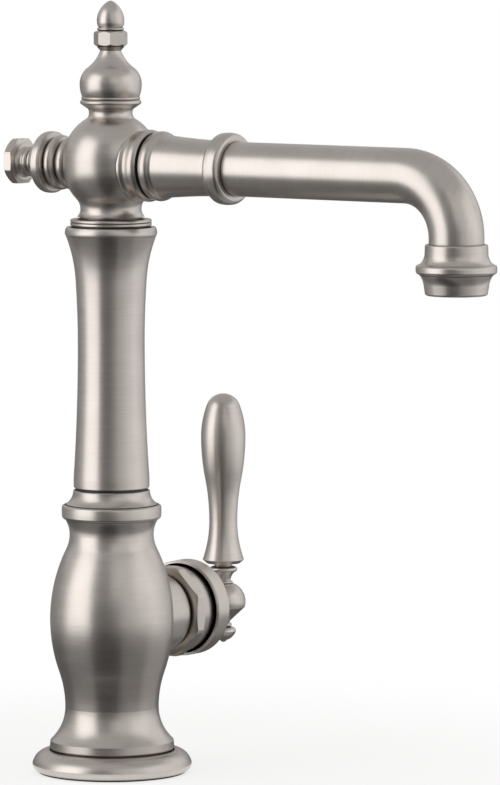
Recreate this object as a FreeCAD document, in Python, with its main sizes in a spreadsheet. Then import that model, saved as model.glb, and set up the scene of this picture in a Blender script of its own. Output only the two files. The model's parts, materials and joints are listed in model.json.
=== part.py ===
import FreeCAD, Part
import os
import re

import Sketcher

# Single-handle bar faucet with a turned post, a straight spout that ends in a short elbow,
# and a side lever. Millimetres, +Z up. The origin is the middle of the underside, on the deck.
# The spout points to -Y, the lever's valve to +X and the rear plug to +Y.

sizes = {
    # gasket and base flange
    "gasket_thickness": 1.5,
    "gasket_inset": 2.6,
    "gasket_width": 5.0,
    "flange_lift": 0.8,
    "flange_radius": 34.4,
    "flange_under_round": 1.6,
    "flange_height": 8.8,
    "flange_edge_height": 2.9,
    "flange_crown_radius": 27.35,
    "foot_seat_depth": 1.2,
    # body shell
    "foot_radius": 26.85,
    "foot_ring_height": 5.3,
    "foot_step": 1.1,
    "foot_round": 0.9,
    "waist_radius": 20.15,
    "waist_rise": 13.6,
    "belly_radius": 26.6,
    "belly_rise": 38.0,
    "neck_radius": 18.1,
    "neck_rise": 36.7,
    "shell_lip_radius": 20.1,
    "shell_lip_rise": 6.7,
    "shell_wall": 2.7,
    "boss_radius": 17.3,
    "boss_setback": 12.15,
    "boss_round": 2.4,
    "boss_nose_radius": 13.9,
    "boss_nose_length": 8.7,
    # valve block inside the shell
    "plate_radius": 21.4,
    "block_radius": 16.9,
    "block_shoulder_drop": 22.0,
    "block_neck_radius": 15.2,
    "inlet_radius": 4.5,
    "inlet_depth": 9.0,
    "inlet_offset_x": 3.0,
    "inlet_offset_y": 7.0,
    "passage_radius": 2.4,
    "stud_radius": 3.4,
    "stud_depth": 8.0,
    "stud_offset": 13.0,
    "outlet_passage_radius": 3.5,
    # swivel collar, post and its bearings
    "collar_radius": 21.4,
    "collar_bead_height": 6.2,
    "collar_shoulder_radius": 19.7,
    "collar_height": 12.5,
    "collar_groove_depth": 0.5,
    "collar_top_radius": 16.5,
    "post_radius": 9.0,
    "post_bore": 6.2,
    "post_thread_length": 12.0,
    "post_flange_radius": 17.0,
    "post_flange_thickness": 2.5,
    "swivel_gap": 1.0,
    "washer_play": 0.06,
    "running_fit": 0.06,
    "slip_fit": 0.05,
    "loose_fit": 0.3,
    "bushing_length": 12.0,
    "bushing_inset": 1.0,
    "clip_thickness": 1.2,
    "clip_radius": 10.6,
    "ring_section": 0.8,
    "post_ring_lift_low": 3.5,
    "post_ring_lift_high": 8.5,
    "post_head_height": 7.0,
    # column
    "column_bore": 12.0,
    "column_foot_radius": 16.3,
    "column_foot_height": 4.1,
    "column_waist_radius": 14.35,
    "column_waist_rise": 58.5,
    "column_shoulder_radius": 15.25,
    "column_shoulder_rise": 27.0,
    "column_flare_radius": 19.3,
    "column_flare_rise": 18.6,
    "column_lip_radius": 19.8,
    "column_lip_height": 4.0,
    "cap_ring_radius": 17.45,
    "cap_ring_height": 3.3,
    "cap_ring_lift": 0.5,
    "cap_ring_groove": 0.4,
    "joint_gap": 0.15,
    # hub ball
    "hub_spigot_length": 14.0,
    "hub_foot_radius": 14.5,
    "hub_foot_groove": 1.3,
    "hub_foot_groove_height": 0.9,
    "hub_neck_radius": 13.1,
    "hub_neck_rise": 4.0,
    "ball_radius": 20.45,
    "ball_rise": 23.2,
    "ball_low_center": 0.7,
    "ball_high_center": 2.0,
    "ball_start_radius": 15.3,
    "ball_crown_radius": 11.2,
    "ball_chamber_radius": 12.6,
    "crown_neck_radius": 9.3,
    "crown_neck_rise": 2.9,
    "crown_height": 4.8,
    "crown_lip_radius": 9.9,
    # finial
    "finial_stud_radius": 2.5,
    "finial_stud_length": 46.0,
    "finial_stud_bite": 4.5,
    "finial_ring_radius": 12.95,
    "finial_ring_height": 4.9,
    "bulb_radius": 13.3,
    "bulb_rise": 5.3,
    "bulb_shoulder_drop": 3.1,
    "bulb_shoulder_rise": 6.9,
    "bulb_neck_radius": 4.5,
    "bulb_neck_rise": 14.4,
    "bulb_flare": 1.5,
    "bulb_flare_height": 1.6,
    "finial_nut_flats": 13.4,
    "finial_nut_height": 6.8,
    "finial_nut_gap": 1.7,
    "acorn_washer_radius": 5.85,
    "acorn_washer_height": 1.1,
    "acorn_groove": 0.75,
    "acorn_radius": 5.9,
    "acorn_rise": 3.9,
    "acorn_height": 12.6,
    "acorn_tip_radius": 2.2,
    # rear plug
    "seat_clearance": 0.08,
    "plug_shank_radius": 3.0,
    "plug_seat_start": 17.6,
    "plug_seat_radius": 10.2,
    "plug_third_ring_radius": 10.6,
    "plug_third_ring_reach": 22.0,
    "plug_groove_radius": 8.8,
    "plug_groove_reach": 23.8,
    "plug_second_ring_radius": 11.8,
    "plug_second_ring_reach": 28.1,
    "plug_main_ring_radius": 13.2,
    "plug_main_ring_reach": 33.0,
    "plug_main_ring_width": 2.6,
    "plug_collar_reach": 34.2,
    "plug_neck_radius": 5.2,
    "plug_bead_reach": 41.2,
    "plug_head_reach": 46.1,
    "plug_head_flats": 19.2,
    "plug_head_thickness": 4.6,
    # spout
    "seat_floor_reach": 16.8,
    "seat_ring_radius": 15.8,
    "seat_ring_start": 12.2,
    "seat_ring_cove_reach": 17.3,
    "seat_ring_bead_reach": 20.4,
    "seat_ring_reach": 22.9,
    "seat_slit": 0.85,
    "seat_slit_radius": 12.4,
    "nipple_radius": 8.8,
    "nipple_bore": 6.4,
    "nipple_start": 11.5,
    "nipple_head_length": 11.0,
    "sleeve_groove_width": 1.2,
    "sleeve_groove_radius": 11.7,
    "sleeve_bead_radius": 14.9,
    "sleeve_bead_reach": 26.9,
    "sleeve_cove_reach": 30.8,
    "sleeve_radius": 13.3,
    "sleeve_end_radius": 11.75,
    "sleeve_reach": 57.4,
    "ferrule_radius": 15.15,
    "ferrule_length": 7.9,
    "ferrule_round": 2.2,
    "tube_radius": 11.5,
    "tube_wall": 1.9,
    "elbow_radius": 25.0,
    "spout_reach": 176.4,
    "outlet_drop": 27.45,
    "outlet_collar_radius": 13.05,
    "outlet_bead_radius": 16.85,
    "outlet_collar_height": 12.3,
    "tube_end_height": 4.4,
    "aerator_gap": 0.25,
    "aerator_radius": 15.4,
    "aerator_waist_radius": 13.6,
    "aerator_waist_height": 4.7,
    "aerator_mouth_radius": 13.05,
    "aerator_height": 8.55,
    "aerator_thread_height": 3.6,
    "aerator_bore": 9.8,
    "insert_lift": 1.6,
    "insert_height": 7.9,
    "jet_radius": 0.8,
    "jet_circle_inner": 3.1,
    "jet_circle_outer": 6.4,
    # cartridge
    "handle_drop": 0.7,
    "cartridge_radius": 12.5,
    "cartridge_seat": 4.0,
    "cartridge_base_length": 23.0,
    "port_spread": 6.0,
    "port_drop": 3.5,
    "port_rise": 5.5,
    "seal_radius": 4.0,
    "seal_height": 1.2,
    "disc_thickness": 3.0,
    "disc_radius": 9.0,
    "disc_offset": 1.65,
    "disc_play": 0.05,
    "sleeve_wall": 1.2,
    "carrier_length": 10.2,
    "carrier_play": 0.1,
    "sleeve_lip": 1.1,
    "driver_clearance": 0.4,
    "pivot_inset": 7.55,
    "pivot_pin_radius": 1.5,
    "pivot_pin_length": 19.0,
    "spindle_radius": 3.5,
    "spindle_tip_radius": 2.2,
    "spindle_slot_up": 6.9,
    "spindle_slot_down": 4.9,
    "spindle_square": 6.0,
    "spindle_square_length": 17.0,
    # bonnet nut
    "nut_gap": 0.8,
    "nut_flats": 38.6,
    "nut_corner_radius": 20.6,
    "nut_flats_length": 5.2,
    "nut_length": 14.0,
    "nut_face_radius": 17.6,
    "nut_mouth": 10.4,
    # handle
    "skirt_inner_radius": 20.6,
    "skirt_radius": 20.9,
    "skirt_rim_lap": 0.3,
    "skirt_height": 8.5,
    "skirt_depth": 10.0,
    "skirt_neck_radius": 6.4,
    "skirt_neck_ring_radius": 8.2,
    "skirt_neck_length": 9.3,
    "skirt_neck_gap": 5.35,
    "hub_bite": 3.2,
    "set_screw_radius": 2.0,
    "set_screw_length": 5.0,
    "set_screw_inset": 3.5,
    "handle_hub_radius": 9.85,
    "handle_hub_rise": 7.6,
    "handle_hub_drop": 9.6,
    "handle_hub_top_radius": 4.4,
    "handle_hub_waist_radius": 2.8,
    "lever_stud_radius": 2.5,
    "lever_stud_length": 30.0,
    "lever_neck_radius": 3.3,
    "lever_ring_radius": 6.2,
    "lever_neck_height": 8.9,
    "grip_base_radius": 9.05,
    "grip_base_height": 1.8,
    "grip_waist_radius": 6.17,
    "grip_waist_rise": 16.9,
    "grip_radius": 9.8,
    "grip_rise": 37.4,
    "grip_tip_rise": 19.1,
    "grip_tip_radius": 7.7,
    "drop_bead_radius": 5.6,
    "drop_tip_radius": 1.5,
    "drop_height": 8.9,
}

# Heights above the deck, and reaches from the post's axis, that follow from the sizes.
levels = {
    "gasket_radius": "flange_radius - gasket_inset",
    "gasket_bore": "gasket_radius - gasket_width",
    "seat_level": "flange_lift + flange_height - foot_seat_depth",
    "foot_top_level": "seat_level + foot_ring_height",
    "waist_level": "foot_top_level + 0.9 + waist_rise",
    "belly_level": "waist_level + belly_rise",
    "handle_level": "belly_level - handle_drop",
    "neck_level": "belly_level + neck_rise",
    "shell_top_level": "neck_level + shell_lip_rise",
    "post_flange_level": "shell_top_level + post_flange_thickness",
    "collar_top_level": "shell_top_level + collar_height",
    "column_foot_level": "collar_top_level + swivel_gap",
    "column_waist_level": "column_foot_level + column_foot_height + column_waist_rise",
    "column_shoulder_level": "column_waist_level + column_shoulder_rise",
    "column_flare_level": "column_shoulder_level + column_flare_rise",
    "column_top_level": "column_flare_level + column_lip_height",
    "hub_foot_level": "column_top_level + cap_ring_height + 2 * joint_gap",
    "spout_level": "hub_foot_level + ball_rise",
    "spigot_level": "column_top_level - hub_spigot_length",
    "clip_level": "spigot_level - 1.5 * clip_thickness",
    "upper_bushing_level": "clip_level - bushing_length - joint_gap",
    "post_top_level": "hub_foot_level + post_head_height",
    "crown_level": "spout_level + ball_high_center + sqrt(ball_radius ^ 2 - ball_crown_radius ^ 2)",
    "crown_top_level": "crown_level + crown_height",
    "finial_stud_level": "crown_top_level - finial_stud_bite",
    "finial_level": "crown_top_level + joint_gap",
    "bulb_level": "finial_level + finial_ring_height + bulb_rise",
    "bulb_top_level": "bulb_level + bulb_neck_rise",
    "finial_nut_level": "bulb_top_level + finial_nut_gap",
    "acorn_level": "finial_nut_level + finial_nut_height + joint_gap",
    "outlet_level": "spout_level - outlet_drop",
    "outlet_foot_level": "outlet_level - outlet_collar_height",
    "outlet_mouth_level": "outlet_foot_level - aerator_gap - aerator_height",
    "tube_end_level": "outlet_foot_level + tube_end_height",
    "ring_groove_radius": "nipple_radius + 2.2 * ring_section",
    "ring_groove_end": "seat_floor_reach + 2.4 * ring_section",
    "tube_bore": "tube_radius - tube_wall",
    "tube_start": "sleeve_reach + ferrule_length + 2 * joint_gap",
    "cartridge_floor": "cartridge_seat + cartridge_base_length",
    "disc_start": "cartridge_floor + disc_thickness + disc_play",
    "driver_start": "disc_start + disc_thickness",
    "carrier_start": "driver_start + disc_thickness + driver_clearance",
    "carrier_end": "carrier_start + carrier_length",
    "sleeve_bore": "cartridge_radius - sleeve_wall",
    "cartridge_end": "carrier_end + carrier_play + sleeve_lip",
    "boss_reach": "cartridge_end - boss_setback",
    "nut_start": "boss_reach + nut_gap",
    "pivot_reach": "carrier_start + pivot_inset",
    "skirt_rim_reach": "nut_start + nut_length - skirt_rim_lap",
    "skirt_back_reach": "skirt_rim_reach + skirt_height",
    "skirt_floor_reach": "skirt_rim_reach + skirt_depth",
    "skirt_neck_reach": "skirt_back_reach + skirt_neck_length",
    "set_screw_reach": "skirt_neck_reach - set_screw_inset",
    "lever_reach": "skirt_neck_reach + skirt_neck_gap + handle_hub_radius",
    "spindle_start": "driver_start + 0.5 * disc_thickness",
    "spindle_end": "skirt_floor_reach + 0.5 * spindle_square_length",
    "hub_waist_level": "handle_level - handle_hub_drop",
    "hub_top_level": "handle_level + handle_hub_rise",
    "grip_level": "hub_top_level + lever_neck_height + joint_gap",
    "grip_waist_level": "grip_level + grip_base_height + grip_waist_rise",
    "grip_belly_level": "grip_waist_level + grip_rise",
}

doc = FreeCAD.newDocument("bar_faucet")

# How a stretch of outline bows, as its height over its chord.
QUARTER_ROUND = 0.2071
HALF_ROUND = 0.46
SHALLOW_ROUND = 0.12

# Which way a piece's own axis points.
DIRECTIONS = {
    "up": FreeCAD.Rotation(),
    "down": FreeCAD.Rotation(FreeCAD.Vector(1, 0, 0), 180),
    "front": FreeCAD.Rotation(FreeCAD.Vector(1, 0, 0), 90),
    "rear": FreeCAD.Rotation(FreeCAD.Vector(1, 0, 0), -90),
    "side": FreeCAD.Rotation(FreeCAD.Vector(0, 1, 0), 90),
}


def write_sheet():
    """Put the driving sizes in a sheet, and what follows from them in a set of variables."""
    sheet = doc.addObject("Spreadsheet::Sheet", "Sizes")
    for row, (name, number) in enumerate(sizes.items(), start=1):
        sheet.set("A%d" % row, name)
        sheet.set("B%d" % row, str(number))
        sheet.setAlias("B%d" % row, name)
    doc.recompute()
    variables = doc.addObject("App::VarSet", "Levels")
    for name, formula in levels.items():
        variables.addProperty("App::PropertyFloat", name)
        variables.setExpression(name, bound(formula))
    doc.recompute()
    return variables


def bound(formula):
    """Turn the plain names in a formula into references to the sheet and the variables."""
    def reference(match):
        word = match.group(0)
        if word in sizes:
            return "Sizes." + word
        if word in levels:
            return "Levels." + word
        return word
    return re.sub(r"[a-z][a-z_]*", reference, formula)


def value(formula):
    return float(variables.evalExpression(bound(formula)))


def put(piece, start, direction):
    """Place a piece's own origin at three formulas, with its axis in a named direction."""
    piece.Placement = FreeCAD.Placement(FreeCAD.Vector(), DIRECTIONS[direction])
    for axis, formula in zip("xyz", start):
        piece.setExpression("Placement.Base." + axis, bound(formula))


def origin_plane(body, role):
    for feature in body.Origin.OriginFeatures:
        if feature.Role == role:
            return feature
    raise ValueError(role)


def new_body(label, start=("0", "0", "0"), direction="up"):
    body = doc.addObject("PartDesign::Body", label)
    body.Label = label
    put(body, start, direction)
    return body


def new_sketch(body, name, role, lift="0"):
    """A sketch on one of the body's own planes, raised along that plane's normal."""
    sketch = body.newObject("Sketcher::SketchObject", name)
    sketch.AttachmentSupport = [(origin_plane(body, role), "")]
    sketch.MapMode = "FlatFace"
    sketch.setExpression("AttachmentOffset.Base.z", bound(lift))
    return sketch


class Outline:
    """The points and the ways between them of one closed outline, as formulas.

    A point is (radius, height), then the way that leads to it from the point before:
      nothing           a straight line
      "bow", share      an arc that bows to the right by that share of its chord
      "leave"           an arc that sets off along the axis
      "settle"          an arc that arrives along the axis
      "level off"       an arc that arrives square to the axis
      "wave", share     two arcs, along the axis at both ends, that meet at that share of the way
      "cap", radius     an arc along the axis, then a round tip of that radius on the axis
    """

    def __init__(self, points):
        self.corners = []
        self.ways = []
        first = points[0]
        self.last = (first[0], first[1])
        self.start = self.last
        for point in points[1:]:
            self.step(point)
        self.add(self.start)

    def add(self, end, radius=None, center=None, bow=None):
        self.corners.append(self.last)
        self.ways.append((radius, center, bow))
        self.last = end

    def step(self, point):
        (r, z), (end_r, end_z) = self.last, point[:2]
        way = point[2] if len(point) > 2 else "line"
        dr, dz = "((%s) - (%s))" % (end_r, r), "((%s) - (%s))" % (end_z, z)
        square = "(%s ^ 2 + %s ^ 2)" % (dr, dz)
        out = 1 if value(dr) > 0 else -1
        if way == "line":
            self.add((end_r, end_z))
        elif way == "bow":
            share = abs(point[3])
            radius = "sqrt%s * %r" % (square, 1 / (8 * share) + share / 2)
            self.add((end_r, end_z), radius, bow=point[3])
        elif way == "leave":
            radius = "%s / (2 * abs%s)" % (square, dr)
            self.add((end_r, end_z), radius, (value(r) + out * value(radius), value(z)))
        elif way == "settle":
            radius = "%s / (2 * abs%s)" % (square, dr)
            self.add((end_r, end_z), radius, (value(end_r) - out * value(radius), value(end_z)))
        elif way == "level off":
            radius = "%s / (2 * abs%s)" % (square, dz)
            rise = 1 if value(dz) > 0 else -1
            self.add((end_r, end_z), radius, (value(end_r), value(end_z) - rise * value(radius)))
        elif way == "wave":
            share = point[3]
            middle = ("(%s) + %r * %s" % (r, share, dr), "(%s) + %r * %s" % (z, share, dz))
            self.step(middle + ("leave",))
            self.step((end_r, end_z, "settle"))
        elif way == "cap":
            self.cap((r, z), end_z, point[3])

    def cap(self, start, tip, radius):
        """The big arc's radius makes it touch the tip's circle, whose middle is on the axis."""
        r, z = start
        rise = 1 if value("(%s) - (%s)" % (tip, z)) > 0 else -1
        middle = "((%s) - %d * (%s))" % (tip, rise, radius)
        run = "(%s - (%s))" % (middle, z)
        big = "(((%s) ^ 2 + %s ^ 2 - (%s) ^ 2) / (2 * ((%s) - (%s))))" % (r, run, radius, r, radius)
        share = "((%s) / (%s - (%s)))" % (radius, big, radius)
        joint = ("%s * (%s - (%s))" % (share, big, r), "%s + %s * %s" % (middle, share, run))
        self.add(joint, big, (value(r) - value(big), value(z)))
        self.add(("0", tip), radius, (0.0, value(middle)))


def arc_middle(start, end, center, bow):
    """A point halfway along an arc, from its centre or from how far it bows."""
    half = (start + end) * 0.5
    chord = end - start
    if center is None:
        right = FreeCAD.Vector(chord.y, -chord.x, 0)
        return half + right * bow
    hub = FreeCAD.Vector(center[0], center[1], 0)
    reach = (start - hub).Length
    return hub + (half - hub).normalize() * reach


def draw(sketch, outline):
    """Draw a closed outline whose corners and radii are bound to their formulas."""
    corners = [FreeCAD.Vector(value(r), value(z), 0) for r, z in outline.corners]
    ends = []
    for index, (radius, center, bow) in enumerate(outline.ways):
        start, end = corners[index], corners[(index + 1) % len(corners)]
        if radius is None:
            edge = sketch.addGeometry(Part.LineSegment(start, end), False)
        else:
            middle = arc_middle(start, end, center, bow)
            edge = sketch.addGeometry(Part.Arc(start, middle, end), False)
        near, far = [(sketch.getPoint(edge, point) - start).Length for point in (1, 2)]
        forward = near < far
        ends.append((edge, 1, 2) if forward else (edge, 2, 1))
    for index, (edge, first, last) in enumerate(ends):
        following, follow_first, _ = ends[(index + 1) % len(ends)]
        sketch.addConstraint(Sketcher.Constraint("Coincident", edge, last, following, follow_first))
    for (edge, first, _), (r, z), (radius, _, _) in zip(ends, outline.corners, outline.ways):
        bind(sketch, Sketcher.Constraint("DistanceX", -1, 1, edge, first, value(r)), r)
        bind(sketch, Sketcher.Constraint("DistanceY", -1, 1, edge, first, value(z)), z)
        if radius is not None:
            bind(sketch, Sketcher.Constraint("Radius", edge, value(radius)), radius)


def bind(sketch, constraint, formula):
    number = sketch.addConstraint(constraint)
    sketch.setExpression("Constraints[%d]" % number, bound(formula))


def turned(label, points, start=("0", "0", "0"), direction="up"):
    """A piece turned on a lathe: one outline, revolved about its own axis."""
    body = new_body(label, start, direction)
    sketch = new_sketch(body, label + "_outline", "XZ_Plane")
    draw(sketch, Outline(points))
    turn = body.newObject("PartDesign::Revolution", label + "_turn")
    turn.Profile = sketch
    turn.ReferenceAxis = (sketch, ["V_Axis"])
    turn.Angle = 360
    return body


def rod(name, radius, length, start, direction="up"):
    cylinder = doc.addObject("Part::Cylinder", name)
    cylinder.setExpression("Radius", bound(radius))
    cylinder.setExpression("Height", bound(length))
    put(cylinder, start, direction)
    return cylinder


def block(name, spans, start):
    """A box with its three lengths given, and its lowest corner at start."""
    box = doc.addObject("Part::Box", name)
    for side, formula in zip(("Length", "Width", "Height"), spans):
        box.setExpression(side, bound(formula))
    put(box, start, "up")
    return box


def prism(name, sides, flats, height, start, direction="up", turn=0.0):
    """A straight prism, sized across its flats. With turn 0 a flat faces its own X."""
    bar = doc.addObject("Part::Prism", name)
    bar.Polygon = sides
    bar.setExpression("Circumradius", bound("(%s) / (2 * cos(%r))" % (flats, 180 / sides)))
    bar.setExpression("Height", bound(height))
    put(bar, start, direction)
    spin = FreeCAD.Rotation(FreeCAD.Vector(0, 0, 1), 180 / sides + turn)
    bar.Placement.Rotation = DIRECTIONS[direction].multiply(spin)
    return bar


def joined(name, pieces):
    union = doc.addObject("Part::MultiFuse", name)
    union.Shapes = pieces
    return union


def cut(label, blank, tools):
    """Take the tools away from a blank."""
    result = doc.addObject("Part::Cut", label)
    result.Label = label
    result.Base = blank
    result.Tool = tools[0] if len(tools) == 1 else joined(label + "_tools", tools)
    return result


def common(label, blank, tool):
    result = doc.addObject("Part::Common", label)
    result.Label = label
    result.Base = blank
    result.Tool = tool
    return result


def together(label, pieces):
    """Separate solids of one kind in one node."""
    group = doc.addObject("Part::Compound", label)
    group.Label = label
    group.Links = pieces
    return group


variables = write_sheet()
on_valve_axis = ("0", "0", "handle_level")
on_spout_axis = ("0", "0", "spout_level")
on_lever_axis = ("lever_reach", "0", "0")
ring_lifts = ("post_ring_lift_low", "post_ring_lift_high")
nodes = []


# ---- base -------------------------------------------------------------------------------------

def make_gasket():
    return turned("deck_gasket", [
        ("gasket_bore", "0"),
        ("gasket_radius", "0"),
        ("gasket_radius", "gasket_thickness"),
        ("gasket_bore", "gasket_thickness"),
    ])


def make_flange():
    return turned("base_flange", [
        ("plate_radius + loose_fit", "gasket_thickness"),
        ("gasket_radius + loose_fit", "gasket_thickness"),
        ("gasket_radius + loose_fit", "flange_lift"),
        ("flange_radius - flange_under_round", "flange_lift"),
        ("flange_radius", "flange_lift + flange_edge_height", "settle"),
        ("flange_crown_radius", "flange_lift + flange_height", "bow", 0.18),
        ("foot_radius + joint_gap", "flange_lift + flange_height"),
        ("foot_radius + joint_gap", "seat_level"),
        ("plate_radius + loose_fit", "seat_level"),
    ])


def make_shell():
    """The outer skin with the valve's boss on its side, less the room inside it."""
    skin = turned("body_shell_skin", [
        ("0", "seat_level"),
        ("foot_radius - foot_round", "seat_level"),
        ("foot_radius - foot_round", "seat_level + foot_seat_depth + loose_fit"),
        ("foot_radius", "seat_level + foot_seat_depth + loose_fit + foot_round",
         "bow", QUARTER_ROUND),
        ("foot_radius - 0.25", "foot_top_level"),
        ("foot_radius - foot_step", "foot_top_level + 0.9"),
        ("waist_radius", "waist_level", "settle"),
        ("belly_radius", "belly_level", "wave", 0.4),
        ("neck_radius", "neck_level", "wave", 0.83),
        ("shell_lip_radius", "shell_top_level", "leave"),
        ("0", "shell_top_level"),
    ])
    boss = turned("body_shell_boss", [
        ("0", "block_radius"),
        ("boss_radius", "block_radius"),
        ("boss_radius", "boss_reach - boss_round"),
        ("boss_radius - boss_round", "boss_reach", "bow", QUARTER_ROUND),
        ("boss_nose_radius", "boss_reach"),
        ("boss_nose_radius", "boss_reach + boss_nose_length"),
        ("0", "boss_reach + boss_nose_length"),
    ], on_valve_axis, "side")
    room = turned("body_shell_room", [
        ("0", "seat_level - 1"),
        ("block_radius + joint_gap", "seat_level - 1"),
        ("block_radius + joint_gap", "waist_level + shell_wall"),
        ("belly_radius - shell_wall", "belly_level", "wave", 0.5),
        ("block_neck_radius + joint_gap", "neck_level - shell_wall", "wave", 0.8),
        ("block_neck_radius + joint_gap", "shell_top_level + 1"),
        ("0", "shell_top_level + 1"),
    ])
    bore = rod("body_shell_bore", "cartridge_radius + joint_gap", "2 * boss_reach",
               on_valve_axis, "side")
    return cut("body_shell", joined("body_shell_blank", [skin, boss]), [room, bore])


def make_block():
    """The brass waterway block: two ports and two stud holes below, the cartridge's seat in its
    side, and the way up to the post."""
    blank = turned("valve_block_blank", [
        ("0", "0"),
        ("plate_radius", "0"),
        ("plate_radius", "seat_level"),
        ("block_radius", "seat_level"),
        ("block_radius", "shell_top_level - block_shoulder_drop"),
        ("block_neck_radius", "shell_top_level - block_shoulder_drop + 2"),
        ("block_neck_radius", "shell_top_level"),
        ("post_radius", "shell_top_level"),
        ("post_radius", "shell_top_level - post_thread_length"),
        ("0", "shell_top_level - post_thread_length"),
    ])
    tools = [
        rod("valve_block_seat", "cartridge_radius + slip_fit", "2 * block_radius",
            ("cartridge_seat", "0", "handle_level"), "side"),
        rod("valve_block_outlet", "outlet_passage_radius",
            "shell_top_level - post_thread_length - handle_level - port_rise + 0.5",
            ("-0.5 * cartridge_seat", "0", "handle_level + port_rise")),
        rod("valve_block_outlet_branch", "passage_radius", "1.5 * cartridge_seat + 1",
            ("-0.5 * cartridge_seat", "0", "handle_level + port_rise"), "side"),
    ]
    for side, sign in (("front", "-"), ("rear", "")):
        port_y = sign + "inlet_offset_y"
        branch_y = sign + "port_spread"
        tools += [
            rod("valve_block_inlet_" + side, "inlet_radius", "inlet_depth",
                ("-inlet_offset_x", port_y, "0")),
            rod("valve_block_riser_" + side, "passage_radius + 0.8", "handle_level - port_drop",
                ("-inlet_offset_x", port_y, "0")),
            rod("valve_block_branch_" + side, "passage_radius",
                "inlet_offset_x + cartridge_seat + 1",
                ("-inlet_offset_x", branch_y, "handle_level - port_drop"), "side"),
        ]
    for side, sign in (("left", "-"), ("right", "")):
        tools.append(rod("valve_block_stud_" + side, "stud_radius", "stud_depth",
                         (sign + "stud_offset", "0", "0")))
    return cut("valve_block", blank, tools)


def make_collar():
    groove_floor = "shell_top_level + collar_bead_height - collar_groove_depth"
    return turned("swivel_collar", [
        ("post_flange_radius + joint_gap", "shell_top_level"),
        ("collar_radius - 1.4", "shell_top_level"),
        ("collar_radius", "shell_top_level + 1.7", "bow", QUARTER_ROUND),
        ("collar_radius", "shell_top_level + collar_bead_height - 1.3", "bow", 0.02),
        ("collar_radius - 1.1", "shell_top_level + collar_bead_height", "bow", QUARTER_ROUND),
        ("collar_shoulder_radius + 0.3", groove_floor),
        ("collar_shoulder_radius - 0.3", groove_floor),
        ("collar_shoulder_radius - 0.1", "shell_top_level + collar_bead_height + 0.3"),
        ("collar_top_radius", "collar_top_level - 0.3", "settle"),
        ("collar_top_radius - 0.3", "collar_top_level"),
        ("post_radius + joint_gap", "collar_top_level"),
        ("post_radius + joint_gap", "post_flange_level + slip_fit"),
        ("post_flange_radius + joint_gap", "post_flange_level + slip_fit"),
    ])


def make_post():
    """The fixed post that the column turns on, with grooves for the clip and the two rings."""
    outline = [
        ("post_bore", "shell_top_level - post_thread_length"),
        ("post_radius - slip_fit", "shell_top_level - post_thread_length"),
        ("post_radius - slip_fit", "shell_top_level"),
        ("post_flange_radius", "shell_top_level"),
        ("post_flange_radius", "post_flange_level"),
        ("post_radius", "post_flange_level"),
        ("post_radius", "clip_level - slip_fit"),
        ("post_radius - 1.2", "clip_level - slip_fit"),
        ("post_radius - 1.2", "clip_level + clip_thickness + slip_fit"),
        ("post_radius", "clip_level + clip_thickness + slip_fit"),
    ]
    for lift in ring_lifts:
        groove = "spigot_level + %s" % lift
        outline += [
            ("post_radius", groove),
            ("post_radius - 2 * ring_section", groove),
            ("post_radius - 2 * ring_section", groove + " + 3 * ring_section"),
            ("post_radius", groove + " + 3 * ring_section"),
        ]
    outline += [
        ("post_radius", "post_top_level - 1"),
        ("post_radius - 1", "post_top_level"),
        ("post_bore", "post_top_level"),
    ]
    return turned("swivel_post", outline)


def make_post_rings():
    rings = []
    for number, lift in enumerate(ring_lifts, start=1):
        ring = doc.addObject("Part::Torus", "post_ring_%d" % number)
        ring.setExpression("Radius1", bound("post_radius - ring_section - 0.02"))
        ring.setExpression("Radius2", bound("ring_section - 0.02"))
        put(ring, ("0", "0", "spigot_level + %s + 1.5 * ring_section" % lift), "up")
        rings.append(ring)
    return together("post_o_rings", rings)


def make_swivel_washer():
    return turned("swivel_washer", [
        ("post_radius + joint_gap", "collar_top_level"),
        ("collar_top_radius - 1.0", "collar_top_level"),
        ("collar_top_radius - 1.0", "column_foot_level - washer_play"),
        ("post_radius + joint_gap", "column_foot_level - washer_play"),
    ])


def make_clip():
    """A retaining ring with an opening at the rear, snapped into the post's groove."""
    ring = turned("post_clip_ring", [
        ("post_radius - 1.15", "clip_level"),
        ("clip_radius", "clip_level"),
        ("clip_radius", "clip_level + clip_thickness"),
        ("post_radius - 1.15", "clip_level + clip_thickness"),
    ])
    opening = block("post_clip_opening", ("5", "2 * clip_radius", "3 * clip_thickness"),
                    ("-2.5", "0", "clip_level - clip_thickness"))
    return cut("post_clip", ring, [opening])


# ---- cartridge --------------------------------------------------------------------------------

port_places = (
    ("port_drop", "-port_spread"),
    ("port_drop", "port_spread"),
    ("-port_rise", "0"),
)


def port_rods(name, radius, length, reach):
    """Three rods along the valve's axis at the cartridge's ports."""
    rods = []
    for number, (drop, aside) in enumerate(port_places, start=1):
        start = (reach, aside, "handle_level - (%s)" % drop)
        rods.append(rod("%s_%d" % (name, number), radius, length, start, "side"))
    return rods


def make_cartridge_base():
    blank = rod("cartridge_base_blank", "cartridge_radius", "cartridge_base_length",
                ("cartridge_seat", "0", "handle_level"), "side")
    passages = port_rods("cartridge_base_port", "passage_radius", "cartridge_base_length + 2",
                         "cartridge_seat - 1")
    pockets = port_rods("cartridge_base_pocket", "seal_radius", "seal_height", "cartridge_seat")
    return cut("cartridge_base", blank, passages + pockets)


def make_seals():
    seals = []
    outer = port_rods("cartridge_seal_outer", "seal_radius", "seal_height", "cartridge_seat")
    inner = port_rods("cartridge_seal_inner", "passage_radius", "seal_height + 2",
                      "cartridge_seat - 1")
    for number, (ring, hole) in enumerate(zip(outer, inner), start=1):
        seals.append(cut("cartridge_seal_%d" % number, ring, [hole]))
    return together("cartridge_seals", seals)


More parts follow.
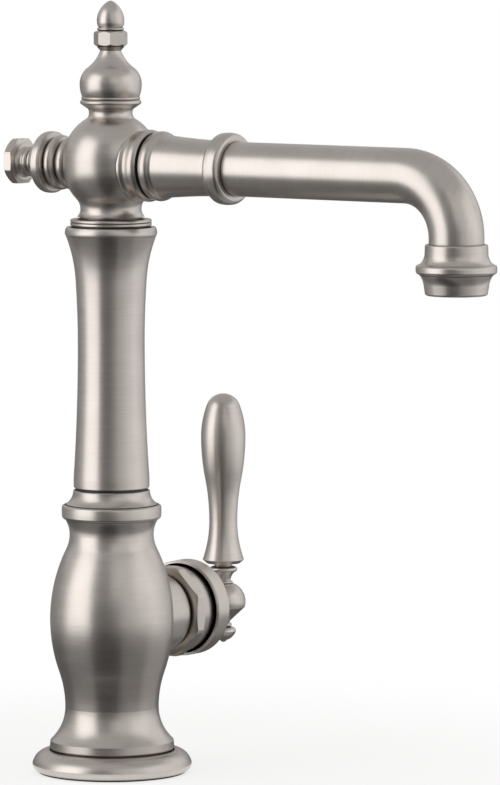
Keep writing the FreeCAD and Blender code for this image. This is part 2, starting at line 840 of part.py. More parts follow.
def make_fixed_disc():
    blank = rod("fixed_disc_blank", "sleeve_bore - slip_fit", "disc_thickness",
                ("cartridge_floor", "0", "handle_level"), "side")
    return cut("fixed_disc", blank,
               port_rods("fixed_disc_port", "passage_radius", "disc_thickness + 2",
                         "cartridge_floor - 1"))


def make_sleeve():
    """The thin case round the discs and the carrier, held in the boss by the bonnet nut."""
    return turned("cartridge_sleeve", [
        ("sleeve_bore", "cartridge_floor"),
        ("cartridge_radius", "cartridge_floor"),
        ("cartridge_radius", "cartridge_end"),
        ("nut_mouth", "cartridge_end"),
        ("nut_mouth", "carrier_end + carrier_play"),
        ("sleeve_bore", "carrier_end + carrier_play"),
    ], on_valve_axis, "side")


def make_moving_disc():
    blank = rod("moving_disc_blank", "disc_radius", "disc_thickness",
                ("disc_start", "0", "handle_level - disc_offset"), "side")
    chamber = rod("moving_disc_chamber", "0.62 * disc_radius", "0.4 * disc_thickness",
                  ("disc_start", "0", "handle_level - disc_offset"), "side")
    return cut("moving_disc", blank, [chamber])


def make_driver():
    blank = rod("disc_driver_blank", "disc_radius - 0.5", "disc_thickness",
                ("driver_start", "0", "handle_level - disc_offset"), "side")
    socket = rod("disc_driver_socket", "spindle_tip_radius + 0.6", "disc_thickness",
                 ("driver_start + 0.3 * disc_thickness", "0", "handle_level"), "side")
    return cut("disc_driver", blank, [socket])


def make_carrier():
    """Turns with the lever for hot and cold. Its slot lets the spindle tilt for the flow."""
    blank = rod("disc_carrier_blank", "sleeve_bore - running_fit", "carrier_length",
                ("carrier_start", "0", "handle_level"), "side")
    slot = block("disc_carrier_slot",
                 ("carrier_length + 2", "2 * spindle_radius + 0.3",
                  "spindle_slot_up + spindle_slot_down"),
                 ("carrier_start - 1", "-spindle_radius - 0.15",
                  "handle_level - spindle_slot_down"))
    pin_hole = rod("disc_carrier_pin_hole", "pivot_pin_radius", "2 * cartridge_radius",
                   ("pivot_reach", "cartridge_radius", "handle_level"), "front")
    return cut("disc_carrier", blank, [slot, pin_hole])


def make_pin():
    return rod("pivot_pin", "pivot_pin_radius", "pivot_pin_length",
               ("pivot_reach", "0.5 * pivot_pin_length", "handle_level"), "front")


def make_spindle():
    tip = turned("cartridge_spindle_tip", [
        ("0", "spindle_start"),
        ("spindle_tip_radius - 0.5", "spindle_start"),
        ("spindle_tip_radius", "spindle_start + 0.5", "bow", QUARTER_ROUND),
        ("spindle_tip_radius", "carrier_start + 0.8"),
        ("spindle_radius", "carrier_start + 2.2"),
        ("spindle_radius", "spindle_end - spindle_square_length"),
        ("0", "spindle_end - spindle_square_length"),
    ], on_valve_axis, "side")
    square = block("cartridge_spindle_square",
                   ("spindle_square_length", "spindle_square", "spindle_square"),
                   ("spindle_end - spindle_square_length", "-0.5 * spindle_square",
                    "handle_level - 0.5 * spindle_square"))
    bore = rod("cartridge_spindle_bore", "pivot_pin_radius + running_fit", "2 * cartridge_radius",
               ("pivot_reach", "cartridge_radius", "handle_level"), "front")
    return cut("cartridge_spindle", joined("cartridge_spindle_blank", [tip, square]), [bore])


def make_bonnet_nut():
    """Eight flats next to the body, then a dome struck about the lever's pivot."""
    flats_end = "nut_start + nut_flats_length"
    blank = turned("bonnet_nut_blank", [
        ("boss_nose_radius + slip_fit", "nut_start"),
        ("nut_corner_radius - 1.1", "nut_start"),
        ("nut_corner_radius", "nut_start + 0.6"),
        ("nut_corner_radius", flats_end + " - 0.6"),
        ("0.5 * nut_flats", flats_end + " + 0.6"),
        ("0.5 * nut_flats", flats_end + " + 1.2"),
        ("nut_face_radius + 0.9", "nut_start + nut_length - 1.2", "leave"),
        ("nut_face_radius - 0.3", "nut_start + nut_length", "bow", QUARTER_ROUND),
        ("nut_mouth", "nut_start + nut_length"),
        ("nut_mouth", "cartridge_end + slip_fit"),
        ("cartridge_radius + joint_gap", "cartridge_end + slip_fit"),
        ("cartridge_radius + joint_gap", "boss_reach + boss_nose_length + loose_fit"),
        ("boss_nose_radius + slip_fit", "boss_reach + boss_nose_length + loose_fit"),
    ], on_valve_axis, "side")
    octagon = prism("bonnet_nut_flats", 8, "nut_flats + 0.02", "nut_length + 2",
                    ("nut_start - 1", "0", "handle_level"), "side")
    return common("bonnet_nut", blank, octagon)


# ---- lever ------------------------------------------------------------------------------------

def make_skirt():
    """A cup whose inside is struck about the pivot, so that it clears the nut as it tilts."""
    floor = "sqrt(skirt_inner_radius ^ 2 - (skirt_floor_reach - pivot_reach) ^ 2)"
    hollow = turned("handle_skirt_hollow", [
        ("0", "pivot_reach"),
        ("skirt_inner_radius", "pivot_reach"),
        (floor, "skirt_floor_reach", "leave"),
        ("0", "skirt_floor_reach"),
    ], on_valve_axis, "side")
    cup = turned("handle_skirt_cup", [
        ("0", "skirt_rim_reach"),
        ("skirt_radius - 0.3", "skirt_rim_reach"),
        ("skirt_radius", "skirt_rim_reach + 0.4", "bow", -QUARTER_ROUND),
        ("skirt_radius", "skirt_back_reach - 0.8"),
        ("skirt_radius - 1.4", "skirt_back_reach + 0.6", "bow", QUARTER_ROUND),
        ("skirt_neck_radius + 3.2", "skirt_back_reach + 5.2", "bow", SHALLOW_ROUND),
        ("skirt_neck_radius", "skirt_neck_reach - 1.6", "bow", -SHALLOW_ROUND),
        ("skirt_neck_ring_radius", "skirt_neck_reach"),
        ("skirt_neck_ring_radius", "skirt_neck_reach + 1.6", "bow", 0.35),
        ("skirt_neck_radius", "skirt_neck_reach + 2.4"),
        ("skirt_neck_radius", "lever_reach - handle_hub_radius + hub_bite"),
        ("0", "lever_reach - handle_hub_radius + hub_bite"),
    ], on_valve_axis, "side")
    broach = block("handle_skirt_broach",
                   ("spindle_square_length", "spindle_square + 2 * slip_fit",
                    "spindle_square + 2 * slip_fit"),
                   ("spindle_end - spindle_square_length + slip_fit",
                    "-0.5 * spindle_square - slip_fit",
                    "handle_level - 0.5 * spindle_square - slip_fit"))
    screw_hole = rod("handle_skirt_screw_hole", "set_screw_radius + slip_fit", "skirt_radius",
                     ("set_screw_reach", "0", "handle_level"), "down")
    return cut("handle_skirt", cup, [hollow, broach, screw_hole])


def make_set_screw():
    """A socket-head grub screw under the neck, run up against the spindle's square."""
    top = "handle_level - 0.5 * spindle_square - 2 * slip_fit"
    blank = rod("handle_set_screw_blank", "set_screw_radius", "set_screw_length",
                ("set_screw_reach", "0", top), "down")
    socket = prism("handle_set_screw_socket", 6, "2.0", "2.2",
                   ("set_screw_reach", "0", top + " - set_screw_length - 0.2"))
    return cut("handle_set_screw", blank, [socket])


def make_handle_hub():
    blank = turned("handle_hub_blank", [
        ("0", "hub_waist_level"),
        ("handle_hub_waist_radius", "hub_waist_level"),
        ("handle_hub_waist_radius + 0.3", "hub_waist_level + 0.6"),
        ("handle_hub_radius - 0.35", "handle_level - 2.9"),
        ("handle_hub_radius", "handle_level - 0.6", "settle"),
        ("handle_hub_top_radius", "hub_top_level", "leave"),
        ("lever_stud_radius + slip_fit", "hub_top_level"),
        ("lever_stud_radius + slip_fit", "handle_level - 2"),
        ("0", "handle_level - 2"),
    ], on_lever_axis)
    socket = rod("handle_hub_socket", "skirt_neck_radius + slip_fit", "lever_reach",
                 ("hub_bite + slip_fit - handle_hub_radius", "0", "handle_level"), "side")
    return cut("handle_hub", blank, [socket])


def make_lever_stud():
    return rod("lever_stud", "lever_stud_radius", "lever_stud_length",
               ("lever_reach", "0", "handle_level - 2"))


def make_lever_neck():
    return turned("lever_neck_ring", [
        ("lever_stud_radius + slip_fit", "hub_top_level"),
        ("lever_neck_radius + 0.5", "hub_top_level"),
        ("lever_neck_radius + 0.5", "hub_top_level + 1.0", "bow", 0.42),
        ("lever_neck_radius", "hub_top_level + 1.3"),
        ("lever_ring_radius - 1.2", "hub_top_level + 5.0", "leave"),
        ("lever_ring_radius - 0.9", "hub_top_level + 5.2"),
        ("lever_ring_radius - 0.9", "hub_top_level + 7.4", "bow", 0.4),
        ("lever_neck_radius + 0.6", "hub_top_level + 7.8"),
        ("lever_neck_radius + 0.6", "hub_top_level + lever_neck_height"),
        ("lever_stud_radius + slip_fit", "hub_top_level + lever_neck_height"),
    ], on_lever_axis)


def make_grip():
    stud_end = "handle_level - 2 + lever_stud_length + 0.5"
    return turned("lever_grip", [
        ("lever_stud_radius + slip_fit", "grip_level"),
        ("grip_base_radius - 1.7", "grip_level"),
        ("grip_base_radius", "grip_level + grip_base_height - 0.3"),
        ("grip_base_radius", "grip_level + grip_base_height", "bow", QUARTER_ROUND),
        ("grip_waist_radius", "grip_waist_level", "settle"),
        ("grip_radius", "grip_belly_level", "wave", 0.5),
        ("0", "grip_belly_level + grip_tip_rise", "cap", "grip_tip_radius"),
        ("0", stud_end),
        ("lever_stud_radius + slip_fit", stud_end),
    ], on_lever_axis)


def make_drop():
    """The small bead screwed in under the hub."""
    top = "hub_waist_level - 0.5 * joint_gap"
    return turned("hub_drop_finial", [
        ("0", top),
        ("handle_hub_waist_radius", top),
        ("drop_bead_radius - 2.1", top + " - 0.6"),
        ("drop_bead_radius - 2.1", top + " - 1.6", "bow", -0.3),
        ("drop_bead_radius - 2.7", top + " - 1.9"),
        ("drop_bead_radius - 2.7", top + " - 2.4"),
        ("drop_bead_radius", top + " - 4.0", "settle"),
        ("drop_tip_radius", top + " - drop_height + 0.9", "bow", -SHALLOW_ROUND),
        ("0", top + " - drop_height", "level off"),
    ], on_lever_axis)


# ---- column and hub ---------------------------------------------------------------------------

def make_column():
    foot = "column_foot_level"
    return turned("column_sleeve", [
        ("column_bore", foot),
        ("column_foot_radius - 0.4", foot),
        ("column_foot_radius", foot + " + 0.4"),
        ("column_foot_radius", foot + " + column_foot_height"),
        ("column_waist_radius", "column_waist_level", "settle"),
        ("column_shoulder_radius", "column_shoulder_level", "leave"),
        ("column_flare_radius", "column_flare_level", "bow", -0.038),
        ("column_lip_radius", "column_flare_level + 1.7", "settle"),
        ("column_lip_radius - 0.7", "column_top_level", "leave"),
        ("column_bore", "column_top_level"),
    ])


def bushing(label, level):
    return turned(label, [
        ("post_radius + running_fit", level),
        ("column_bore - slip_fit", level),
        ("column_bore - slip_fit", level + " + bushing_length"),
        ("post_radius + running_fit", level + " + bushing_length"),
    ])


def make_cap_ring():
    foot, half = "column_top_level + joint_gap", "0.6 * cap_ring_height"
    return turned("column_cap_ring", [
        ("column_bore + slip_fit", foot),
        ("cap_ring_radius - 1.3", foot),
        ("cap_ring_radius - 1.3", foot + " + cap_ring_lift"),
        ("cap_ring_radius - 0.5", foot + " + cap_ring_lift"),
        ("cap_ring_radius", foot + " + cap_ring_lift + 0.5", "bow", QUARTER_ROUND),
        ("cap_ring_radius", foot + " + %s - 0.3" % half),
        ("cap_ring_radius - cap_ring_groove", foot + " + " + half),
        ("cap_ring_radius", foot + " + %s + 0.3" % half),
        ("cap_ring_radius", foot + " + cap_ring_height - 0.7"),
        ("cap_ring_radius - 0.7", foot + " + cap_ring_height", "bow", QUARTER_ROUND),
        ("column_bore + slip_fit", foot + " + cap_ring_height"),
    ])


def make_hub():
    """The ball that carries the spout, the plug and the finial, with the water's chamber in it."""
    low, high = "spout_level - ball_low_center", "spout_level + ball_high_center"
    ball_start = low + " - sqrt(ball_radius ^ 2 - ball_start_radius ^ 2)"
    blank = turned("hub_ball_blank", [
        ("post_radius + running_fit", "spigot_level"),
        ("column_bore - slip_fit", "spigot_level"),
        ("column_bore - slip_fit", "hub_foot_level"),
        ("hub_foot_radius - hub_foot_groove", "hub_foot_level"),
        ("hub_foot_radius - hub_foot_groove", "hub_foot_level + hub_foot_groove_height"),
        ("hub_foot_radius", "hub_foot_level + hub_foot_groove_height"),
        ("hub_neck_radius", "hub_foot_level + hub_neck_rise", "settle"),
        ("ball_start_radius", ball_start, "leave"),
        ("ball_radius", low, "settle"),
        ("ball_radius", high),
        ("ball_crown_radius", "crown_level", "leave"),
        ("crown_neck_radius", "crown_level + crown_neck_rise", "settle"),
        ("crown_lip_radius", "crown_top_level", "leave"),
        ("finial_stud_radius + slip_fit", "crown_top_level"),
        ("finial_stud_radius + slip_fit", "spout_level + 0.97 * ball_chamber_radius"),
        ("ball_chamber_radius", "spout_level", "settle"),
        ("post_radius + running_fit", "post_top_level + 1.5", "leave"),
    ])
    seat = rod("hub_ball_spout_seat", "ring_groove_radius", "ball_radius",
               ("0", "-seat_floor_reach", "spout_level"), "front")
    spout_bore = rod("hub_ball_spout_bore", "nipple_radius + slip_fit", "2 * ball_radius",
                     on_spout_axis, "front")
    plug_bore = rod("hub_ball_plug_bore", "plug_shank_radius + slip_fit", "2 * ball_radius",
                    on_spout_axis, "rear")
    return cut("hub_ball", blank, [seat, spout_bore, plug_bore])


def make_finial_stud():
    return rod("finial_stud", "finial_stud_radius", "finial_stud_length",
               ("0", "0", "finial_stud_level"))


def make_bulb():
    foot = "finial_level"
    return turned("finial_bulb", [
        ("finial_stud_radius + slip_fit", foot),
        ("crown_lip_radius + 0.4", foot),
        ("finial_ring_radius - 0.6", foot + " + 1.5"),
        ("finial_ring_radius - 0.4", foot + " + 3.5", "bow", 0.34),
        ("finial_ring_radius - 0.7", foot + " + 3.7"),
        ("finial_ring_radius - 0.5", foot + " + 3.9"),
        ("finial_ring_radius - 0.7", foot + " + finial_ring_height", "bow", 0.25),
        ("bulb_radius", "bulb_level", "settle"),
        ("bulb_radius - bulb_shoulder_drop", "bulb_level + bulb_shoulder_rise", "leave"),
        ("bulb_neck_radius", "bulb_top_level", "bow", -0.08),
        ("bulb_neck_radius + bulb_flare", "bulb_top_level + bulb_flare_height"),
        ("finial_stud_radius + slip_fit", "bulb_top_level + bulb_flare_height"),
    ])


def make_finial_nut():
    foot, corner = "finial_nut_level", "0.54 * finial_nut_flats"
    blank = turned("finial_nut_blank", [
        ("finial_stud_radius + slip_fit", foot),
        ("0.38 * finial_nut_flats", foot),
        (corner, foot + " + 1.2", "bow", SHALLOW_ROUND),
        (corner, foot + " + finial_nut_height - 1.1"),
        ("0.42 * finial_nut_flats", foot + " + finial_nut_height", "bow", SHALLOW_ROUND),
        ("finial_stud_radius + slip_fit", foot + " + finial_nut_height"),
    ])
    octagon = prism("finial_nut_flat_sides", 8, "finial_nut_flats", "finial_nut_height + 2",
                    ("0", "0", foot + " - 1"), turn=13.0)
    return common("finial_nut", blank, octagon)


def make_acorn():
    foot = "acorn_level"
    socket_end = "finial_stud_level + finial_stud_length + loose_fit"
    return turned("finial_acorn", [
        ("finial_stud_radius + slip_fit", foot),
        ("acorn_washer_radius - 0.6", foot),
        ("acorn_washer_radius - 0.5", foot + " + acorn_washer_height", "bow", HALF_ROUND),
        ("acorn_radius - acorn_groove", foot + " + acorn_washer_height + 0.15"),
        ("acorn_radius - acorn_groove", foot + " + acorn_washer_height + 0.5"),
        ("acorn_radius - 0.3", foot + " + acorn_washer_height + 1.0", "bow", QUARTER_ROUND),
        ("acorn_radius", foot + " + acorn_rise", "settle"),
        ("0", foot + " + acorn_height", "cap", "acorn_tip_radius"),
        ("0", socket_end),
        ("finial_stud_radius + slip_fit", socket_end),
    ])


# ---- rear plug --------------------------------------------------------------------------------

def ball_tool(name, clearance="seat_clearance"):
    """The ball's shape and a hair more, which hollows what seats on it."""
    radius = "ball_radius + " + clearance
    low, high = "spout_level - ball_low_center", "spout_level + ball_high_center"
    return turned(name, [
        ("0", "%s - (%s)" % (low, radius)),
        (radius, low, "settle"),
        (radius, high),
        ("0", "%s + %s" % (high, radius), "leave"),
    ])


def make_plug_collar():
    inner = "plug_shank_radius + slip_fit"
    blank = turned("rear_plug_collar_blank", [
        (inner, "plug_seat_start"),
        ("plug_seat_radius", "plug_seat_start"),
        ("plug_third_ring_radius - 0.2", "plug_third_ring_reach", "bow", 0.3),
        ("plug_groove_radius", "plug_groove_reach"),
        ("plug_second_ring_radius - 1.0", "plug_groove_reach + 0.7"),
        ("plug_second_ring_radius - 1.0", "plug_second_ring_reach", "bow", 0.27),
        ("plug_groove_radius + 0.8", "plug_second_ring_reach + 0.8"),
        ("plug_main_ring_radius - 1.3", "plug_main_ring_reach - plug_main_ring_width - 0.7"),
        ("plug_main_ring_radius", "plug_main_ring_reach - plug_main_ring_width", "bow", 0.12),
        ("plug_main_ring_radius", "plug_main_ring_reach", "bow", 0.03),
        ("plug_main_ring_radius - 1.3", "plug_collar_reach", "bow", QUARTER_ROUND),
        (inner, "plug_collar_reach"),
    ], on_spout_axis, "rear")
    return cut("rear_plug_collar", blank, [ball_tool("rear_plug_collar_ball")])


def make_plug_screw():
    """The octagonal-headed screw that closes the hub's rear port and clamps the collar."""
    foot, head = "plug_collar_reach + 0.1", "plug_head_reach"
    blank = turned("rear_plug_screw_blank", [
        ("0", "ball_chamber_radius + 0.5"),
        ("plug_shank_radius", "ball_chamber_radius + 0.5"),
        ("plug_shank_radius", foot),
        ("plug_neck_radius + 4.0", foot),
        ("plug_neck_radius", foot + " + 4.2", "settle"),
        ("plug_neck_radius", "plug_bead_reach - 2.1"),
        ("plug_neck_radius + 0.3", "plug_bead_reach", "bow", 0.42),
        ("plug_neck_radius + 0.3", "plug_bead_reach + 2.6", "bow", 0.38),
        ("0.42 * plug_head_flats", head, "leave"),
        ("0.535 * plug_head_flats", head + " + 0.7"),
        ("0.535 * plug_head_flats", head + " + plug_head_thickness - 0.9"),
        ("0.46 * plug_head_flats", head + " + plug_head_thickness", "bow", 0.15),
        ("0", head + " + plug_head_thickness"),
    ], on_spout_axis, "rear")
    octagon = prism("rear_plug_screw_flats", 8, "plug_head_flats",
                    head + " + 2 * plug_head_thickness", on_spout_axis, "rear")
    return common("rear_plug_screw", blank, octagon)


# ---- spout ------------------------------------------------------------------------------------

def make_seat_ring():
    """A collar seated on the ball, which closes the groove of the spout's O-ring."""
    blank = turned("spout_seat_ring_blank", [
        ("ring_groove_radius", "seat_ring_start"),
        ("seat_ring_radius", "seat_ring_start"),
        ("seat_ring_radius", "seat_ring_start + 2.7"),
        ("seat_ring_radius - 0.9", "seat_ring_cove_reach", "wave", 0.5),
        ("seat_ring_radius - 0.4", "seat_ring_bead_reach", "wave", 0.5),
        ("seat_ring_radius - 1.4", "seat_ring_reach", "leave"),
        ("nipple_radius + slip_fit", "seat_ring_reach"),
        ("nipple_radius + slip_fit", "ring_groove_end"),
        ("ring_groove_radius", "ring_groove_end"),
    ], on_spout_axis, "front")
    core = rod("spout_seat_ring_core", "seat_slit_radius", "2 * ball_radius",
               on_spout_axis, "front")
    around = ball_tool("spout_seat_ring_slit_ball", "seat_slit")
    slit = cut("spout_seat_ring_slit", around, [core])
    return cut("spout_seat_ring", blank, [ball_tool("spout_seat_ring_ball"), slit])


def make_spout_sleeve():
    foot = "seat_ring_reach + sleeve_groove_width"
    return turned("spout_sleeve", [
        ("nipple_radius + slip_fit", "seat_ring_reach + 0.05"),
        ("sleeve_groove_radius", "seat_ring_reach + 0.05"),
        ("sleeve_groove_radius", foot),
        ("sleeve_bead_radius - 0.9", foot),
        ("sleeve_bead_radius", "sleeve_bead_reach", "settle"),
        ("sleeve_radius", "sleeve_cove_reach", "wave", 0.55),
        ("sleeve_end_radius", "sleeve_reach", "bow", -0.01),
        ("nipple_radius + slip_fit", "sleeve_reach"),
    ], on_spout_axis, "front")


def make_ferrule():
    foot = "sleeve_reach + joint_gap"
    return turned("spout_ferrule", [
        ("nipple_radius + slip_fit", foot),
        ("ferrule_radius - 1.2 * ferrule_round", foot),
        ("ferrule_radius", foot + " + ferrule_round", "settle"),
        ("ferrule_radius", foot + " + ferrule_length - ferrule_round", "bow", 0.04),
        ("ferrule_radius - 1.2 * ferrule_round", foot + " + ferrule_length", "leave"),
        ("nipple_radius + slip_fit", foot + " + ferrule_length"),
    ], on_spout_axis, "front")


def make_nipple():
    """The threaded pipe that ties the hub, the sleeve and the ferrule to the tube."""
    shoulder = "tube_start + 0.05"
    return turned("spout_nipple", [
        ("nipple_bore", "nipple_start"),
        ("nipple_radius", "nipple_start"),
        ("nipple_radius", shoulder),
        ("tube_bore - slip_fit", shoulder),
        ("tube_bore - slip_fit", shoulder + " + nipple_head_length"),
        ("nipple_bore + 1.2", shoulder + " + nipple_head_length"),
        ("nipple_bore", shoulder + " + nipple_head_length - 1.2"),
    ], on_spout_axis, "front")


def pipe_feature(body, kind, name, path, radius):
    """One sweep of a circle along the tube's path, added or taken away."""
    circle = new_sketch(body, name + "_circle", "XZ_Plane", "tube_start")
    place = FreeCAD.Vector(0, value("spout_level"), 0)
    ring = circle.addGeometry(Part.Circle(place, FreeCAD.Vector(0, 0, 1), value(radius)), False)
    bind(circle, Sketcher.Constraint("DistanceX", -1, 1, ring, 3, 0.0), "0")
    level = Sketcher.Constraint("DistanceY", -1, 1, ring, 3, value("spout_level"))
    bind(circle, level, "spout_level")
    bind(circle, Sketcher.Constraint("Radius", ring, value(radius)), radius)
    pipe = body.newObject(kind, name)
    pipe.Profile = circle
    pipe.Spine = (path, ["Edge1", "Edge2", "Edge3"])
    return pipe


def make_tube():
    body = new_body("spout_tube")
    path = new_sketch(body, "spout_tube_path", "YZ_Plane")
    bend_start = "-(spout_reach - elbow_radius)"
    bend_level = "spout_level - elbow_radius"
    points = [
        ("-tube_start", "spout_level"),
        (bend_start, "spout_level"),
        ("-spout_reach", bend_level),
        ("-spout_reach", "tube_end_level"),
    ]
    places = [FreeCAD.Vector(value(y), value(z), 0) for y, z in points]
    hub = FreeCAD.Vector(value(bend_start), value(bend_level), 0)
    middle = hub + FreeCAD.Vector(-1, 1, 0).normalize() * value("elbow_radius")
    run = path.addGeometry(Part.LineSegment(places[0], places[1]), False)
    bend = path.addGeometry(Part.Arc(places[1], middle, places[2]), False)
    drop = path.addGeometry(Part.LineSegment(places[2], places[3]), False)
    forward = (path.getPoint(bend, 1) - places[1]).Length < 0.001
    bend_first, bend_last = (1, 2) if forward else (2, 1)
    path.addConstraint(Sketcher.Constraint("Coincident", run, 2, bend, bend_first))
    path.addConstraint(Sketcher.Constraint("Coincident", bend, bend_last, drop, 1))
    ends = ((run, 1), (run, 2), (drop, 1), (drop, 2))
    for (edge, end), (y, z) in zip(ends, points):
        bind(path, Sketcher.Constraint("DistanceX", -1, 1, edge, end, value(y)), y)
        bind(path, Sketcher.Constraint("DistanceY", -1, 1, edge, end, value(z)), z)
    bind(path, Sketcher.Constraint("Radius", bend, value("elbow_radius")), "elbow_radius")
    pipe_feature(body, "PartDesign::AdditivePipe", "spout_tube_wall", path, "tube_radius")
    pipe_feature(body, "PartDesign::SubtractivePipe", "spout_tube_way", path, "tube_bore")
    return body


def make_outlet_collar():
    foot = "outlet_foot_level"
    return turned("outlet_collar", [
        ("aerator_bore + 1.4", foot),
        ("outlet_bead_radius - 1.0", foot),
        ("outlet_bead_radius", foot + " + 1.3", "bow", 0.16),
        ("outlet_bead_radius", foot + " + 2.6"),
        ("outlet_bead_radius - 0.9", foot + " + 3.8", "bow", 0.18),
        ("outlet_collar_radius + 1.9", foot + " + 4.3"),
        ("outlet_collar_radius + 0.1", foot + " + 8.6", "settle"),
        ("outlet_collar_radius", "outlet_level - 0.8"),
        ("outlet_collar_radius - 0.8", "outlet_level", "bow", QUARTER_ROUND),
        ("tube_radius + slip_fit", "outlet_level"),
        ("tube_radius + slip_fit", "tube_end_level - slip_fit"),
        ("aerator_bore + 1.4", "tube_end_level - slip_fit"),
    ], ("0", "-spout_reach", "0"))


def make_aerator_housing():
    foot, mouth = "outlet_foot_level - aerator_gap", "outlet_mouth_level"
    return turned("aerator_housing", [
        ("aerator_bore", mouth),
        ("aerator_mouth_radius - 1.1", mouth),
        ("aerator_mouth_radius", mouth + " + 1.1", "bow", QUARTER_ROUND),
        ("aerator_waist_radius", mouth + " + aerator_waist_height"),
        ("aerator_radius", foot, "bow", -0.07),
        ("aerator_bore + 1.4 - slip_fit", foot),
        ("aerator_bore + 1.4 - slip_fit", foot + " + aerator_thread_height"),
        ("aerator_bore", foot + " + aerator_thread_height"),
    ], ("0", "-spout_reach", "0"))


def make_aerator_insert():
    """A moulded disc with one middle jet and two rings of jets."""
    level = "outlet_mouth_level + insert_lift"
    body = new_body("aerator_insert", ("0", "-spout_reach", level))
    face = new_sketch(body, "aerator_insert_face", "XY_Plane")
    add_circle(face, "0", "aerator_bore - slip_fit")
    pad = body.newObject("PartDesign::Pad", "aerator_insert_pad")
    pad.Profile = face
    pad.setExpression("Length", bound("insert_height"))
    jet_ring(body, "aerator_insert_middle_jet", "0", 1)
    jet_ring(body, "aerator_insert_inner_jets", "jet_circle_inner", 6)
    jet_ring(body, "aerator_insert_outer_jets", "jet_circle_outer", 12)
    return body


def add_circle(sketch, aside, radius):
    place = FreeCAD.Vector(value(aside), 0, 0)
    ring = sketch.addGeometry(Part.Circle(place, FreeCAD.Vector(0, 0, 1), value(radius)), False)
    bind(sketch, Sketcher.Constraint("DistanceX", -1, 1, ring, 3, value(aside)), aside)
    bind(sketch, Sketcher.Constraint("DistanceY", -1, 1, ring, 3, 0.0), "0")
    bind(sketch, Sketcher.Constraint("Radius", ring, value(radius)), radius)


def jet_ring(body, name, circle, count):
    """One jet, bored through the disc and repeated round its middle."""
    sketch = new_sketch(body, name + "_sketch", "XY_Plane")
    add_circle(sketch, circle, "jet_radius")
    jet = body.newObject("PartDesign::Pocket", name)
    jet.Profile = sketch
    jet.Type = "ThroughAll"
    jet.Midplane = True
    if count > 1:
        pattern = body.newObject("PartDesign::PolarPattern", name + "_pattern")
        pattern.Originals = [jet]
        pattern.Axis = (sketch, ["N_Axis"])
        pattern.Angle = 360
        pattern.Occurrences = count
        body.Tip = pattern


def make_aerator_washer():
    foot = "outlet_mouth_level + insert_lift + insert_height + 0.1"
    return turned("aerator_washer", [
        ("aerator_bore - 2.6", foot),
        ("aerator_bore - slip_fit", foot),
        ("aerator_bore - slip_fit", "tube_end_level - slip_fit - 0.1"),
        ("aerator_bore - 2.6", "tube_end_level - slip_fit - 0.1"),
    ], ("0", "-spout_reach", "0"))


def make_spout_o_ring():
    ring = doc.addObject("Part::Torus", "spout_o_ring")
    ring.Label = "spout_o_ring"
    ring.setExpression("Radius1", bound("nipple_radius + slip_fit + ring_section"))
    ring.setExpression("Radius2", bound("ring_section"))
    put(ring, ("0", "-(seat_floor_reach + 1.2 * ring_section)", "spout_level"), "front")
    return ring


# ---- everything -------------------------------------------------------------------------------

nodes += [make_gasket(), make_flange(), make_shell(), make_block(), make_collar(), make_post()]
nodes += [make_post_rings(), make_swivel_washer(), make_clip()]
nodes += [make_cartridge_base(), make_seals(), make_fixed_disc(), make_sleeve()]
nodes += [make_moving_disc(), make_driver(), make_carrier(), make_pin(), make_spindle()]
nodes += [make_bonnet_nut(), make_skirt(), make_set_screw(), make_handle_hub()]
nodes += [make_lever_stud(), make_lever_neck(), make_grip(), make_drop()]
nodes += [make_column(), bushing("lower_bushing", "column_foot_level + bushing_inset")]
nodes += [bushing("upper_bushing", "upper_bushing_level"), make_cap_ring(), make_hub()]
nodes += [make_finial_stud(), make_bulb(), make_finial_nut(), make_acorn()]
nodes += [make_plug_collar(), make_plug_screw(), make_seat_ring(), make_spout_sleeve()]
nodes += [make_ferrule(), make_nipple(), make_tube(), make_outlet_collar()]
nodes += [make_aerator_housing(), make_aerator_insert(), make_aerator_washer()]
nodes += [make_spout_o_ring()]

doc.recompute()


def check_document():
    for thing in doc.Objects:
        if "Invalid" in thing.State or "Error" in thing.State:
            raise RuntimeError("%s did not compute" % thing.Name)
    for node in nodes:
        if node.Shape.isNull() or not node.Shape.isValid() or not node.Shape.Solids:
            raise RuntimeError("%s has no valid solid" % node.Label)


def write_parts():
    os.makedirs("parts", exist_ok=True)
    for node in nodes:
        node.Shape.exportStep("parts/%s.step" % node.Label)
        print("%-20s %2d solid %9.1f mm3" % (node.Label, len(node.Shape.Solids), node.Shape.Volume))


check_document()
write_parts()
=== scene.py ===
import json
from math import radians

import bmesh
import bpy
from mathutils import Matrix, Vector


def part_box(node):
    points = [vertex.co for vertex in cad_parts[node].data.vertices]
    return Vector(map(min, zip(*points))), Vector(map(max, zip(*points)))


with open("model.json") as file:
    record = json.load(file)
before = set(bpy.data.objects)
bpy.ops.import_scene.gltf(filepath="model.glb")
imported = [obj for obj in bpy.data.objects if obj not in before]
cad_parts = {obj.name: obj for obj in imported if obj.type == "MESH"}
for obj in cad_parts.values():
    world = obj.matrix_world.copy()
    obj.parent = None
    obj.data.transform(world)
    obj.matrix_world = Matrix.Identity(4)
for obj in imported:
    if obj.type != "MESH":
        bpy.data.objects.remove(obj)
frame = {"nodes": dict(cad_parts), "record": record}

for leftover in ("Cube", "Light", "Camera"):  # what a new Blender file starts with
    if leftover in bpy.data.objects:
        bpy.data.objects.remove(bpy.data.objects[leftover])
scene = bpy.context.scene


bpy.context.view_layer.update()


# Helpers. Sizes of patterns are given in millimetres and those of the studio in metres.

metre = 1000  # in millimetres


def hexLinear(code):
    channels = [int(code[i:i + 2], 16) / 255 for i in (1, 3, 5)]
    return [c / 12.92 if c <= 0.04045 else ((c + 0.055) / 1.055) ** 2.4 for c in channels] + [1]


